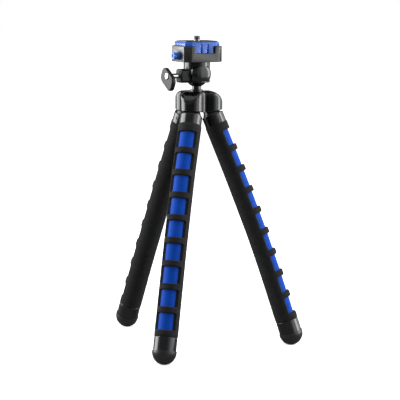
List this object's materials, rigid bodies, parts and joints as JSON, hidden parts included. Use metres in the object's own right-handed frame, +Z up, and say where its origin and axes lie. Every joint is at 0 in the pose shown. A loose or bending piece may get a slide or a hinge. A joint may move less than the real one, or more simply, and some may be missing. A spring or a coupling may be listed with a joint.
{
  "type": "flexible leg tripod",
  "caption": "Tabletop camera tripod with bendable foam-covered legs, a lobed hub, a lockable ball head and a quick-release plate with a camera screw.",
  "frame": {"origin": "on the floor, under the middle of the feet's bounding box", "axes": "+Z up along the hub's axis; the head's round front boss and the plate's ribbed skirt face -Y, the wing screw is on -X"},
  "size_m": [0.1656, 0.1766, 0.2936],
  "materials": {
    "black_plastic": "gloss",
    "black_metal": "satin",
    "foam": "matt, fine grain",
    "rubber": "matt",
    "blue_plastic": "satin",
    "blue_sleeve": "satin",
    "steel": "turned",
    "wire": "drawn"
  },
  "bodies": {
    "hub": {"hub_shell": "black_plastic", "hub_base": "black_plastic", "hub_bolt": "steel", "ball_stud": "black_metal"},
    "front_leg_knuckle": {"front_leg_knuckle": "black_metal"},
    "front_leg_upper": {"front_leg_collar": "black_plastic", "front_leg_hinge_pin": "black_metal", "front_leg_jacket_1": "foam", "front_leg_flex_rings": "foam", "front_leg_sleeve": "blue_sleeve", "front_leg_core_wire": "wire"},
    "front_leg_middle": {"front_leg_jacket_2": "foam"},
    "front_leg_lower": {"front_leg_jacket_3": "foam"},
    "front_leg_end": {"front_leg_jacket_4": "foam", "front_leg_ferrule": "black_plastic", "front_leg_foot": "rubber"},
    "right_leg_knuckle": {"right_leg_knuckle": "black_metal"},
    "right_leg_upper": {"right_leg_collar": "black_plastic", "right_leg_hinge_pin": "black_metal", "right_leg_jacket_1": "foam", "right_leg_flex_rings": "foam", "right_leg_sleeve": "blue_sleeve", "right_leg_core_wire": "wire"},
    "right_leg_middle": {"right_leg_jacket_2": "foam"},
    "right_leg_lower": {"right_leg_jacket_3": "foam"},
    "right_leg_end": {"right_leg_jacket_4": "foam", "right_leg_ferrule": "black_plastic", "right_leg_foot": "rubber"},
    "back_leg_knuckle": {"back_leg_knuckle": "black_metal"},
    "back_leg_upper": {"back_leg_collar": "black_plastic", "back_leg_hinge_pin": "black_metal", "back_leg_jacket_1": "foam", "back_leg_flex_rings": "foam", "back_leg_sleeve": "blue_sleeve", "back_leg_core_wire": "wire"},
    "back_leg_middle": {"back_leg_jacket_2": "foam"},
    "back_leg_lower": {"back_leg_jacket_3": "foam"},
    "back_leg_end": {"back_leg_jacket_4": "foam", "back_leg_ferrule": "black_plastic", "back_leg_foot": "rubber"},
    "ball_pan": {"neck_ring": "black_metal"},
    "ball_tilt": {"ball_seat": "rubber"},
    "head": {"socket_cup": "black_plastic", "retaining_ring": "black_plastic", "friction_shoe": "rubber", "front_cap": "black_plastic", "clamp_body": "black_plastic", "clamp_screws": "steel", "side_plug": "black_plastic"},
    "wing": {"wing_screw": "steel", "wing_knob": "black_plastic"},
    "plate": {"quick_plate": "blue_plastic", "plate_pad": "rubber"},
    "screw": {"camera_screw": "steel"},
    "button": {"release_button": "blue_plastic", "latch_bar": "steel", "button_spring": "steel"}
  },
  "joints": [
    {"name": "front_leg_swing", "type": "hinge", "parent": "hub", "child": "front_leg_knuckle", "pos_m": [-0.01682, -0.02046, 0.22416], "axis": [0, 0, 1], "range_deg": [-26, 24]},
    {"name": "front_leg_fold", "type": "hinge", "parent": "front_leg_knuckle", "child": "front_leg_upper", "pos_m": [-0.01869, -0.0224, 0.21556], "axis": [-0.7193, 0.6947, 0], "range_deg": [-21, 2]},
    {"name": "front_leg_bend_1", "type": "hinge", "parent": "front_leg_upper", "child": "front_leg_middle", "pos_m": [-0.03394, -0.03819, 0.16699], "axis": [0.7193, -0.6947, 0], "range_deg": [-45, 30], "deforming": ["front_leg_flex_rings", "front_leg_sleeve", "front_leg_core_wire"]},
    {"name": "front_leg_bend_2", "type": "hinge", "parent": "front_leg_middle", "child": "front_leg_lower", "pos_m": [-0.04928, -0.05407, 0.10735], "axis": [-0.6555, -0.6788, 0.3308], "range_deg": [-45, 45], "deforming": ["front_leg_flex_rings", "front_leg_sleeve", "front_leg_core_wire"]},
    {"name": "front_leg_bend_3", "type": "hinge", "parent": "front_leg_lower", "child": "front_leg_end", "pos_m": [-0.05854, -0.06366, 0.0671], "axis": [0.7193, -0.6947, 0], "range_deg": [-45, 44], "deforming": ["front_leg_flex_rings", "front_leg_sleeve", "front_leg_core_wire"]},
    {"name": "right_leg_swing", "type": "hinge", "parent": "hub", "child": "right_leg_knuckle", "pos_m": [0.00677, -0.01413, 0.22416], "axis": [0, 0, 1], "range_deg": [-5, 45]},
    {"name": "right_leg_fold", "type": "hinge", "parent": "right_leg_knuckle", "child": "right_leg_upper", "pos_m": [0.00898, -0.01568, 0.21556], "axis": [-0.5736, -0.8192, 0], "range_deg": [-19, 2]},
    {"name": "right_leg_bend_1", "type": "hinge", "parent": "right_leg_upper", "child": "right_leg_middle", "pos_m": [0.02562, -0.02733, 0.16628], "axis": [0.5736, 0.8192, 0], "range_deg": [-45, 30], "deforming": ["right_leg_flex_rings", "right_leg_sleeve", "right_leg_core_wire"]},
    {"name": "right_leg_bend_2", "type": "hinge", "parent": "right_leg_middle", "child": "right_leg_lower", "pos_m": [0.04463, -0.04064, 0.10707], "axis": [0.7678, -0.5376, 0.3485], "range_deg": [-45, 45], "deforming": ["right_leg_flex_rings", "right_leg_sleeve", "right_leg_core_wire"]},
    {"name": "right_leg_bend_3", "type": "hinge", "parent": "right_leg_lower", "child": "right_leg_end", "pos_m": [0.05616, -0.04872, 0.06707], "axis": [0.5736, 0.8192, 0], "range_deg": [-45, 44], "deforming": ["right_leg_flex_rings", "right_leg_sleeve", "right_leg_core_wire"]},
    {"name": "back_leg_swing", "type": "hinge", "parent": "hub", "child": "back_leg_knuckle", "pos_m": [-0.0105, 0.00313, 0.22416], "axis": [0, 0, 1], "range_deg": [-31, 19]},
    {"name": "back_leg_fold", "type": "hinge", "parent": "back_leg_knuckle", "child": "back_leg_upper", "pos_m": [-0.01146, 0.00565, 0.21556], "axis": [0.9336, 0.3584, 0], "range_deg": [-18, 2]},
    {"name": "back_leg_bend_1", "type": "hinge", "parent": "back_leg_upper", "child": "back_leg_middle", "pos_m": [-0.01847, 0.0239, 0.16598], "axis": [-0.9336, -0.3584, 0], "range_deg": [-45, 30], "deforming": ["back_leg_flex_rings", "back_leg_sleeve", "back_leg_core_wire"]},
    {"name": "back_leg_bend_2", "type": "hinge", "parent": "back_leg_middle", "child": "back_leg_lower", "pos_m": [-0.02646, 0.04471, 0.10641], "axis": [-0.3356, 0.8744, 0.3505], "range_deg": [-45, 45], "deforming": ["back_leg_flex_rings", "back_leg_sleeve", "back_leg_core_wire"]},
    {"name": "back_leg_bend_3", "type": "hinge", "parent": "back_leg_lower", "child": "back_leg_end", "pos_m": [-0.03178, 0.05858, 0.0667], "axis": [-0.9336, -0.3584, 0], "range_deg": [-45, 44], "deforming": ["back_leg_flex_rings", "back_leg_sleeve", "back_leg_core_wire"]},
    {"name": "ball_turn", "type": "hinge", "parent": "hub", "child": "ball_pan", "pos_m": [-0.00685, -0.01049, 0.25626], "axis": [0, 0, 1], "continuous": true},
    {"name": "ball_tilt", "type": "hinge", "parent": "ball_pan", "child": "ball_tilt", "pos_m": [-0.00685, -0.01049, 0.25626], "axis": [1, 0, 0], "range_deg": [-28, 28]},
    {"name": "head_turn", "type": "hinge", "parent": "ball_tilt", "child": "head", "pos_m": [-0.00685, -0.01049, 0.25626], "axis": [0, 0, 1], "continuous": true},
    {"name": "wing_turn", "type": "hinge", "parent": "head", "child": "wing", "pos_m": [-0.02565, -0.01049, 0.25626], "axis": [-1, 0, 0], "range_deg": [-180, 180]},
    {"name": "plate_lift", "type": "slide", "parent": "head", "child": "plate", "axis": [0, 0, 1], "range_m": [0, 0.02]},
    {"name": "screw_turn", "type": "hinge", "parent": "plate", "child": "screw", "pos_m": [-0.00685, -0.01049, 0.28896], "axis": [0, 0, 1], "continuous": true},
    {"name": "button_press", "type": "slide", "parent": "head", "child": "button", "axis": [1, 0, 0], "range_m": [0, 0.0026], "stiffness_N_per_m": 600, "springref_m": -0.002, "deforming": ["button_spring"]}
  ]
}
